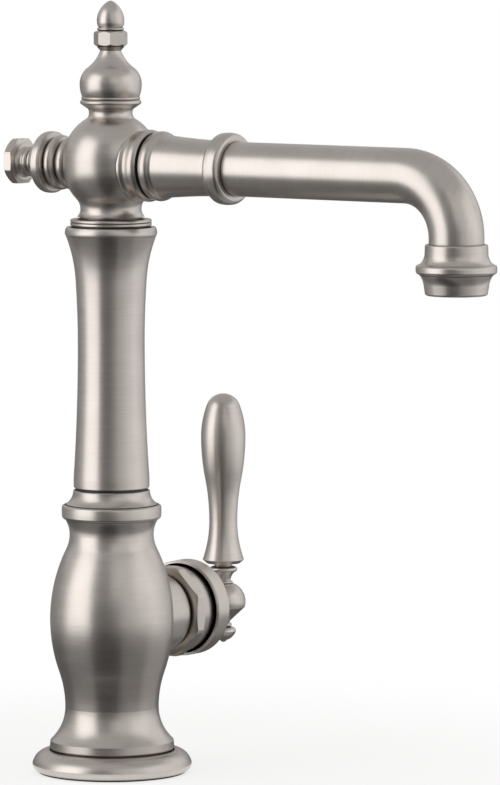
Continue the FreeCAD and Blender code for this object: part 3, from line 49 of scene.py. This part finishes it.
def addNode(tree, kind, inputs=None, **settings):
    node = tree.nodes.new("ShaderNode" + kind)
    for name, setting in settings.items():
        setattr(node, name, setting)
    for name, given in (inputs or {}).items():
        if isinstance(given, bpy.types.NodeSocket):
            tree.links.new(given, node.inputs[name])
        else:
            node.inputs[name].default_value = given
    return node


def pick(tree, operation, first, second):
    return addNode(tree, "Math", {0: first, 1: second}, operation=operation).outputs[0]


def remap(tree, value, span, result, **settings):
    node = addNode(tree, "MapRange", {"Value": value, "From Min": span[0], "From Max": span[1],
                                      "To Min": result[0], "To Max": result[1]}, **settings)
    return node.outputs["Result"]


def mixColours(tree, share, first, second):
    # the Mix node's colours are its inputs 6 and 7 and its output 2
    return addNode(tree, "Mix", {0: share, 6: first, 7: second}, data_type="RGBA").outputs[2]


def noise(tree, place, size, detail, roughness=0.5):
    node = addNode(tree, "TexNoise", {"Vector": place, "Scale": metre / size, "Detail": detail,
                                      "Roughness": roughness})
    return node.outputs["Fac"]


def stretched(tree, place, along, lengthwise, sideways):
    scale = [sideways, sideways, sideways]
    scale["xyz".index(along)] = lengthwise
    return addNode(tree, "Mapping", {"Vector": place, "Scale": scale}).outputs["Vector"]


def raised(tree, height, strength, depth):
    node = addNode(tree, "Bump", {"Height": height, "Strength": strength, "Distance": depth / metre})
    return node.outputs["Normal"]


def objectPlace(tree):
    return addNode(tree, "TexCoord").outputs["Object"]


def seenPlainly(tree):
    # 1 for rays from the camera, straight, mirrored or through something clear
    rays = addNode(tree, "LightPath")
    plain = pick(tree, "MAXIMUM", rays.outputs["Is Camera Ray"], rays.outputs["Is Glossy Ray"])
    return pick(tree, "MAXIMUM", plain, rays.outputs["Is Transmission Ray"])


def newMaterial(name):
    material = bpy.data.materials.new(name)
    material.use_nodes = True
    material.node_tree.nodes.clear()
    return material, material.node_tree


def finishMaterial(tree, shader):
    addNode(tree, "OutputMaterial", {"Surface": shader})


def finishMetal(tree, colour, roughness, normal):
    shader = addNode(tree, "BsdfPrincipled", {"Metallic": 1.0, "Base Color": colour,
                                              "Roughness": roughness, "Normal": normal})
    finishMaterial(tree, shader.outputs["BSDF"])


def objectFromBmesh(name, mesh, material):
    data = bpy.data.meshes.new(name)
    mesh.to_mesh(data)
    mesh.free()
    data.materials.append(material)
    piece = bpy.data.objects.new(name, data)
    scene.collection.objects.link(piece)
    return piece


# Camera

view = {
    "place": (-2.0670, -1.5200, 0.4020),
    "tilt": 84.7,
    "turn": -55,
    "lens": 275.16,
    "nearest": 0.05,
    "farthest": 50,
}
cameraData = bpy.data.cameras.new("camera")
cameraData.lens = view["lens"]
cameraData.clip_start = view["nearest"]
cameraData.clip_end = view["farthest"]
camera = bpy.data.objects.new("camera", cameraData)
camera.location = view["place"]
camera.rotation_euler = (radians(view["tilt"]), 0, radians(view["turn"]))
scene.collection.objects.link(camera)
scene.camera = camera
scene.view_settings.view_transform = "Standard"
print("camera set")


# Studio: a white surround, a pale floor, a large soft lamp on the left, and grey screens and a grey
# ceiling that shape the reflections. Only mirrored rays see the screens and the ceiling.

studio = {
    "cameraSide": (-0.8192, -0.5736),  # level direction from the tap to the camera
    "radius": 3.2,  # of the ring on which the screens stand
    "sweepSteps": 12,
    "diffuseLevel": 0.85,  # of the surround, for the light that it gives to matt surfaces
    "floorRadius": 0.34,
    "floorSegments": 96,
    "floorDrop": 0.0002,  # keeps the floor clear of the tap's underside
    "floorColour": "#F2F1EF",
    "floorGlow": 0.75,  # share of plain white in the floor next to the tap
    "glowSpan": (0.12, 0.33),  # from the tap outwards, where that share rises to all
    "keyTurn": -65,
    "keyDistance": 2.4,
    "keyWidth": 2.0,
    "keyLow": -0.42,
    "keyHigh": 2.9,
    "keyPower": 13,
    # screens standing round the tap: from and to in degrees to the right of the camera, low and
    # high in metres, and how bright they are. The gaps between them show the white surround.
    "walls": {
        "screenFrontLow": (-38, 0, -0.9, 0.75, 0.16),
        "screenFrontHigh": (-38, 0, 0.75, 3.0, 0.27),
        "screenRightEdge": (0, 15, -0.9, 0.75, 0.26),
        "screenRightNear": (15, 30, -0.9, 0.75, 0.52),
        "screenRightMiddle": (30, 50, -0.9, 0.75, 0.66),
        "screenRightFar": (50, 75, -0.9, 0.75, 0.85),
        "screenRightHigh": (0, 50, 0.75, 3.0, 0.68),
        "screenRearRight": (100, 125, -0.9, 3.0, 0.83),
        "screenRearEdge": (125, 147, -0.9, 0.75, 0.6),
        "screenRearEdgeHigh": (125, 147, 0.75, 3.0, 0.85),
        "screenRear": (147, 213, -0.9, 0.75, 0.25),
        "screenRearLeft": (213, 240, -0.9, 0.75, 0.3),
        "screenLeft": (240, 262, -0.9, 0.75, 0.44),
        "screenRearHigh": (147, 262, 0.75, 3.0, 0.55),
    },
    # screens low over the floor: from and to in degrees, and how bright they are
    "lows": {
        "shadeFront": (-36, 20, 0.04),
        "shadeRight": (20, 70, 0.19),
        "shadeRightFar": (70, 130, 0.34),
        "shadeRear": (130, 262, 0.12),
        "shadeLeft": (262, 324, 0.2),
    },
    "lowInner": 0.05,
    "lowHeight": 0.0006,  # just over the floor
    "lowDepth": -0.9,
    "coveInner": 0.01,
    "coveLow": 3.0,
    "coveHigh": 4.4,
    "ceilingLevel": 0.48,
    "ceilings": {"ceilingRight": -90, "ceilingLeft": 90},  # where each half of it starts, in degrees
}


def lookAcross(turn):
    towardsCamera = Vector((*studio["cameraSide"], 0))
    return Matrix.Rotation(radians(turn), 3, "Z") @ towardsCamera


def glowing(tree, level):
    glow = addNode(tree, "Emission", {"Color": (level, level, level, 1), "Strength": 1.0})
    return glow.outputs["Emission"]


def greyLight(name, level):
    material, tree = newMaterial(name)
    finishMaterial(tree, glowing(tree, level))
    return material


def onlyReflected(thing):
    thing.visible_camera = False
    thing.visible_diffuse = False
    thing.visible_shadow = False
    thing.visible_transmission = False


def sweepScreen(name, outline, start, end, level):
    mesh = bmesh.new()
    side = lookAcross(start)
    corners = [mesh.verts.new(side * reach + Vector((0, 0, height))) for reach, height in outline]
    for first, second in zip(corners, corners[1:]):
        mesh.edges.new((first, second))
    bmesh.ops.spin(mesh, geom=mesh.verts[:] + mesh.edges[:], cent=(0, 0, 0), axis=(0, 0, 1),
                   angle=radians(end - start), steps=studio["sweepSteps"])
    onlyReflected(objectFromBmesh(name, mesh, greyLight(name, level)))


for name, (start, end, low, high, level) in studio["walls"].items():
    sweepScreen(name, [(studio["radius"], low), (studio["radius"], high)], start, end, level)
lowOutline = [(studio["lowInner"], studio["lowHeight"]), (studio["floorRadius"], studio["lowHeight"]),
              (studio["radius"], studio["lowDepth"])]
for name, (start, end, level) in studio["lows"].items():
    sweepScreen(name, lowOutline, start, end, level)
cove = [(studio["radius"], studio["coveLow"]), (studio["radius"], studio["coveHigh"]),
        (studio["coveInner"], studio["coveHigh"])]
for name, start in studio["ceilings"].items():
    sweepScreen(name, cove, start, start + 180, studio["ceilingLevel"])

world = bpy.data.worlds.new("world")
scene.world = world
world.use_nodes = True
tree = world.node_tree
tree.nodes.clear()
level = remap(tree, seenPlainly(tree), (0.0, 1.0), (studio["diffuseLevel"], 1.0))
surround = addNode(tree, "Background", {"Color": (1, 1, 1, 1), "Strength": level})
addNode(tree, "OutputWorld", {"Surface": surround.outputs["Background"]})

keyData = bpy.data.lights.new("keyLamp", "AREA")
keyData.shape = "RECTANGLE"
keyData.size = studio["keyWidth"]
keyData.size_y = studio["keyHigh"] - studio["keyLow"]
keyData.energy = studio["keyPower"]
key = bpy.data.objects.new("keyLamp", keyData)
keySide = lookAcross(studio["keyTurn"])
keyMiddle = (studio["keyHigh"] + studio["keyLow"]) / 2
key.location = keySide * studio["keyDistance"] + Vector((0, 0, keyMiddle))
key.rotation_euler = keySide.to_track_quat("Z", "Y").to_euler()
key.visible_camera = False
scene.collection.objects.link(key)

# The painted floor is nearly white to the eye and in reflections, and keeps the tap's shadow
floorMaterial, tree = newMaterial("paintedStudioFloor")
matt = addNode(tree, "BsdfDiffuse", {"Color": hexLinear(studio["floorColour"])})
reach = addNode(tree, "VectorMath", {0: objectPlace(tree)}, operation="LENGTH")
fade = remap(tree, reach.outputs["Value"], studio["glowSpan"], (studio["floorGlow"], 1.0),
             interpolation_type="SMOOTHSTEP")
share = pick(tree, "MULTIPLY", seenPlainly(tree), fade)
mixed = addNode(tree, "MixShader", {0: share, 1: matt.outputs["BSDF"], 2: glowing(tree, 1)})
finishMaterial(tree, mixed.outputs["Shader"])
mesh = bmesh.new()
bmesh.ops.create_circle(mesh, cap_ends=True, segments=studio["floorSegments"],
                        radius=studio["floorRadius"])
bmesh.ops.translate(mesh, verts=mesh.verts[:], vec=(0, 0, -studio["floorDrop"]))
objectFromBmesh("floor", mesh, floorMaterial)
print("studio set")


# Brushed nickel: brass turned on a lathe, nickel plated, then brushed with fine abrasive. It gives
# the eye wide soft highlights and a faint line round each turned form. Its colour is darkened in the
# creases by ambient occlusion, a painted shade. The lines are really about 0.1 mm apart, and are
# drawn 0.6 mm apart so that they show.

nickel = {
    "light": "#D6CFC9",
    "deep": "#CCC4BD",
    "toneSpan": (0.7, 1.3),
    "lineSpacing": 0.6,
    "lineStretch": 0.03,
    "lineDetail": 2.0,
    "lineBreak": 0.6,
    "lineStrength": 0.1,
    "lineDepth": 0.003,
    "cloudSize": 14.0,
    "cloudDetail": 2.0,
    # painted shade: the near-black that the creases and the skirt's hollow are coloured with
    "paintedCreaseShade": "#1F1B18",
    "paintedShadeReach": 1.8,
    "paintedShadeSpan": (0.22, 0.8),
    "paintedShadeSamples": 8,
    "creaseRough": 0.5,
    "smooth": 0.29,
    "rough": 0.34,
    "glossSpan": (0.3, 0.7),
}


def brushedNickel(name, along, inside=None):
    material, tree = newMaterial(name)
    place = objectPlace(tree)
    lines = stretched(tree, place, along, 1.0, nickel["lineStretch"])
    brush = noise(tree, lines, nickel["lineSpacing"], nickel["lineDetail"], nickel["lineBreak"])
    cloud = noise(tree, place, nickel["cloudSize"], nickel["cloudDetail"])
    tone = remap(tree, pick(tree, "ADD", brush, cloud), nickel["toneSpan"], (0.0, 1.0))
    brushed = mixColours(tree, tone, hexLinear(nickel["deep"]), hexLinear(nickel["light"]))
    # painted shade: where ambient occlusion finds a crease, the colour is mixed towards the near-black
    shut = addNode(tree, "AmbientOcclusion", {"Distance": nickel["paintedShadeReach"] / metre},
                   samples=nickel["paintedShadeSamples"])
    clearOfPaintedShade = remap(tree, shut.outputs["AO"], nickel["paintedShadeSpan"], (0.0, 1.0))
    # painted shade: the skirt's hollow is coloured dark as well
    if inside:
        clearOfPaintedShade = pick(tree, "MINIMUM", clearOfPaintedShade, inside(tree, place))
    colour = mixColours(tree, clearOfPaintedShade, hexLinear(nickel["paintedCreaseShade"]), brushed)
    gloss = remap(tree, brush, nickel["glossSpan"], (nickel["smooth"], nickel["rough"]))
    duller = remap(tree, clearOfPaintedShade, (0.0, 1.0), (nickel["creaseRough"], gloss))
    finishMetal(tree, colour, duller, raised(tree, brush, nickel["lineStrength"], nickel["lineDepth"]))
    return material


# The skirt's hollow is a ball's shape struck about the lever's pivot. Its inside takes the dark crease
# colour, a painted shade.
skirt = {
    "hollowRadius": 20.75,
    "depth": 10.3,
}


def outsideSkirt(tree, place):
    joints = frame["record"]["behaviour"]["joints"]
    pivot = next(joint["pos_m"] for joint in joints if joint["name"] == "flow")
    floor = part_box("handle_skirt")[0][0] + skirt["depth"] / metre
    across = addNode(tree, "SeparateXYZ", {0: place})
    beyond = pick(tree, "GREATER_THAN", across.outputs["X"], floor)
    centred = addNode(tree, "Mapping", {"Vector": place, "Location": [-n for n in pivot]})
    reach = addNode(tree, "VectorMath", {0: centred.outputs["Vector"]}, operation="LENGTH")
    outer = pick(tree, "GREATER_THAN", reach.outputs["Value"], skirt["hollowRadius"] / metre)
    return pick(tree, "MAXIMUM", beyond, outer)


# Machined brass: bar turned and bored, left bare inside the tap. Rings from the tool, and a slight
# brown tarnish. The tool's feed is really about 0.15 mm, and its rings are drawn 3 mm apart so that
# they show.

brass = {
    "bright": "#CFAE6B",
    "tarnish": "#9A7A45",
    "ringScale": 100.0,  # the wave goes through 20 radians a metre at a scale of 1
    "ringDistortion": 0.4,
    "ringDetail": 1.0,
    "ringStrength": 0.3,
    "ringDepth": 0.01,
    "tarnishSize": 9.0,
    "tarnishDetail": 5.0,
    "tarnishBreak": 0.65,
    "tarnishSpan": (0.42, 0.68),
    "smooth": 0.3,
    "rough": 0.48,
}


def machinedBrass(name, along):
    material, tree = newMaterial(name)
    place = objectPlace(tree)
    rings = addNode(tree, "TexWave", {"Vector": place, "Scale": brass["ringScale"],
                                      "Distortion": brass["ringDistortion"],
                                      "Detail": brass["ringDetail"]}, bands_direction=along.upper())
    stain = noise(tree, place, brass["tarnishSize"], brass["tarnishDetail"], brass["tarnishBreak"])
    worn = remap(tree, stain, brass["tarnishSpan"], (0.0, 1.0))
    colour = mixColours(tree, worn, hexLinear(brass["bright"]), hexLinear(brass["tarnish"]))
    gloss = remap(tree, worn, (0.0, 1.0), (brass["smooth"], brass["rough"]))
    finishMetal(tree, colour, gloss,
                raised(tree, rings.outputs["Fac"], brass["ringStrength"], brass["ringDepth"]))
    return material


# Stainless steel: cold drawn wire and bar, so a bright grey with fine lines along its length. The
# lines are really less than 0.1 mm apart, and are drawn 0.4 mm apart so that they show.

steel = {
    "light": "#C9C8C5",
    "deep": "#A9A7A3",
    "lineSpacing": 0.4,
    "lineStretch": 0.04,
    "lineDetail": 2.0,
    "lineStrength": 0.15,
    "lineDepth": 0.004,
    "smooth": 0.24,
    "rough": 0.36,
}


def drawnStainless(name, along):
    material, tree = newMaterial(name)
    lines = stretched(tree, objectPlace(tree), along, steel["lineStretch"], 1.0)
    grain = noise(tree, lines, steel["lineSpacing"], steel["lineDetail"])
    colour = mixColours(tree, grain, hexLinear(steel["deep"]), hexLinear(steel["light"]))
    gloss = remap(tree, grain, (0.0, 1.0), (steel["smooth"], steel["rough"]))
    finishMetal(tree, colour, gloss, raised(tree, grain, steel["lineStrength"], steel["lineDepth"]))
    return material


# Moulded rubber and plastic: a dull skin with the fine grain of a spark-eroded mould, and a bloom of
# dust on rubber. The ceramic is pressed, fired and lapped flat, so it has a much finer grain.

moulded = {
    "mouldedBlackRubber": {"colour": "#1C1B1A", "bloom": "#3A3835", "grain": 0.35, "patch": 6.0,
                           "rough": 0.62, "depth": 0.02, "through": 0.0},
    "mouldedBlackAcetal": {"colour": "#1E1E20", "bloom": "#2C2C2F", "grain": 0.25, "patch": 9.0,
                           "rough": 0.36, "depth": 0.008, "through": 0.0},
    "mouldedGreyAcetal": {"colour": "#8C8F90", "bloom": "#A3A5A5", "grain": 0.25, "patch": 9.0,
                          "rough": 0.38, "depth": 0.008, "through": 0.15},
    "lappedAluminaCeramic": {"colour": "#EDE9DF", "bloom": "#DAD3C4", "grain": 0.15, "patch": 5.0,
                             "rough": 0.2, "depth": 0.002, "through": 0.1},
}
mould = {
    "grainDetail": 3.0,
    "grainBreak": 0.7,
    "grainStrength": 0.4,
    "patchDetail": 4.0,
    "patchSpan": (0.4, 0.7),
    "glossier": 0.06,
    "duller": 0.1,
    "lightReach": 1.0,
}


def mouldedSkin(name):
    skin = moulded[name]
    material, tree = newMaterial(name)
    place = objectPlace(tree)
    grain = noise(tree, place, skin["grain"], mould["grainDetail"], mould["grainBreak"])
    patch = noise(tree, place, skin["patch"], mould["patchDetail"])
    dusty = remap(tree, patch, mould["patchSpan"], (0.0, 1.0))
    gloss = remap(tree, grain, (0.0, 1.0), (skin["rough"] - mould["glossier"],
                                            skin["rough"] + mould["duller"]))
    shader = addNode(tree, "BsdfPrincipled", {
        "Base Color": mixColours(tree, dusty, hexLinear(skin["colour"]), hexLinear(skin["bloom"])),
        "Roughness": gloss,
        "Normal": raised(tree, grain, mould["grainStrength"], skin["depth"]),
        "Subsurface Weight": skin["through"],
        "Subsurface Scale": mould["lightReach"] / metre,
    })
    finishMaterial(tree, shader.outputs["BSDF"])
    return material


finishes = [
    (brushedNickel("brushedNickelUpright", "z"),
     ["base_flange", "body_shell", "swivel_collar", "column_sleeve", "column_cap_ring", "hub_ball",
      "finial_bulb", "finial_nut", "finial_acorn", "outlet_collar", "aerator_housing", "handle_hub",
      "lever_neck_ring", "lever_grip", "hub_drop_finial"]),
    (brushedNickel("brushedNickelSpout", "y"),
     ["rear_plug_collar", "rear_plug_screw", "spout_seat_ring", "spout_sleeve", "spout_ferrule",
      "spout_tube"]),
    (brushedNickel("brushedNickelHandle", "x"), ["bonnet_nut"]),
    (brushedNickel("brushedNickelSkirt", "x", outsideSkirt), ["handle_skirt"]),
    (machinedBrass("machinedBrassUpright", "z"), ["valve_block", "swivel_post"]),
    (machinedBrass("machinedBrassSpout", "y"), ["spout_nipple"]),
    (machinedBrass("machinedBrassValve", "x"), ["cartridge_base"]),
    (drawnStainless("drawnStainlessUpright", "z"),
     ["post_clip", "handle_set_screw", "lever_stud", "finial_stud"]),
    (drawnStainless("drawnStainlessSpindle", "x"), ["cartridge_spindle"]),
    (drawnStainless("drawnStainlessPin", "y"), ["pivot_pin"]),
    (mouldedSkin("mouldedBlackRubber"),
     ["deck_gasket", "post_o_rings", "cartridge_seals", "spout_o_ring", "aerator_washer"]),
    (mouldedSkin("mouldedBlackAcetal"), ["swivel_washer", "lower_bushing", "upper_bushing"]),
    (mouldedSkin("mouldedGreyAcetal"),
     ["cartridge_sleeve", "disc_carrier", "disc_driver", "aerator_insert"]),
    (mouldedSkin("lappedAluminaCeramic"), ["fixed_disc", "moving_disc"]),
]
dressed = 0
for material, names in finishes:
    for name in names:
        frame["nodes"][name].material_slots[0].material = material
        dressed += 1
print("finishes on", dressed, "of", len(frame["nodes"]), "pieces")
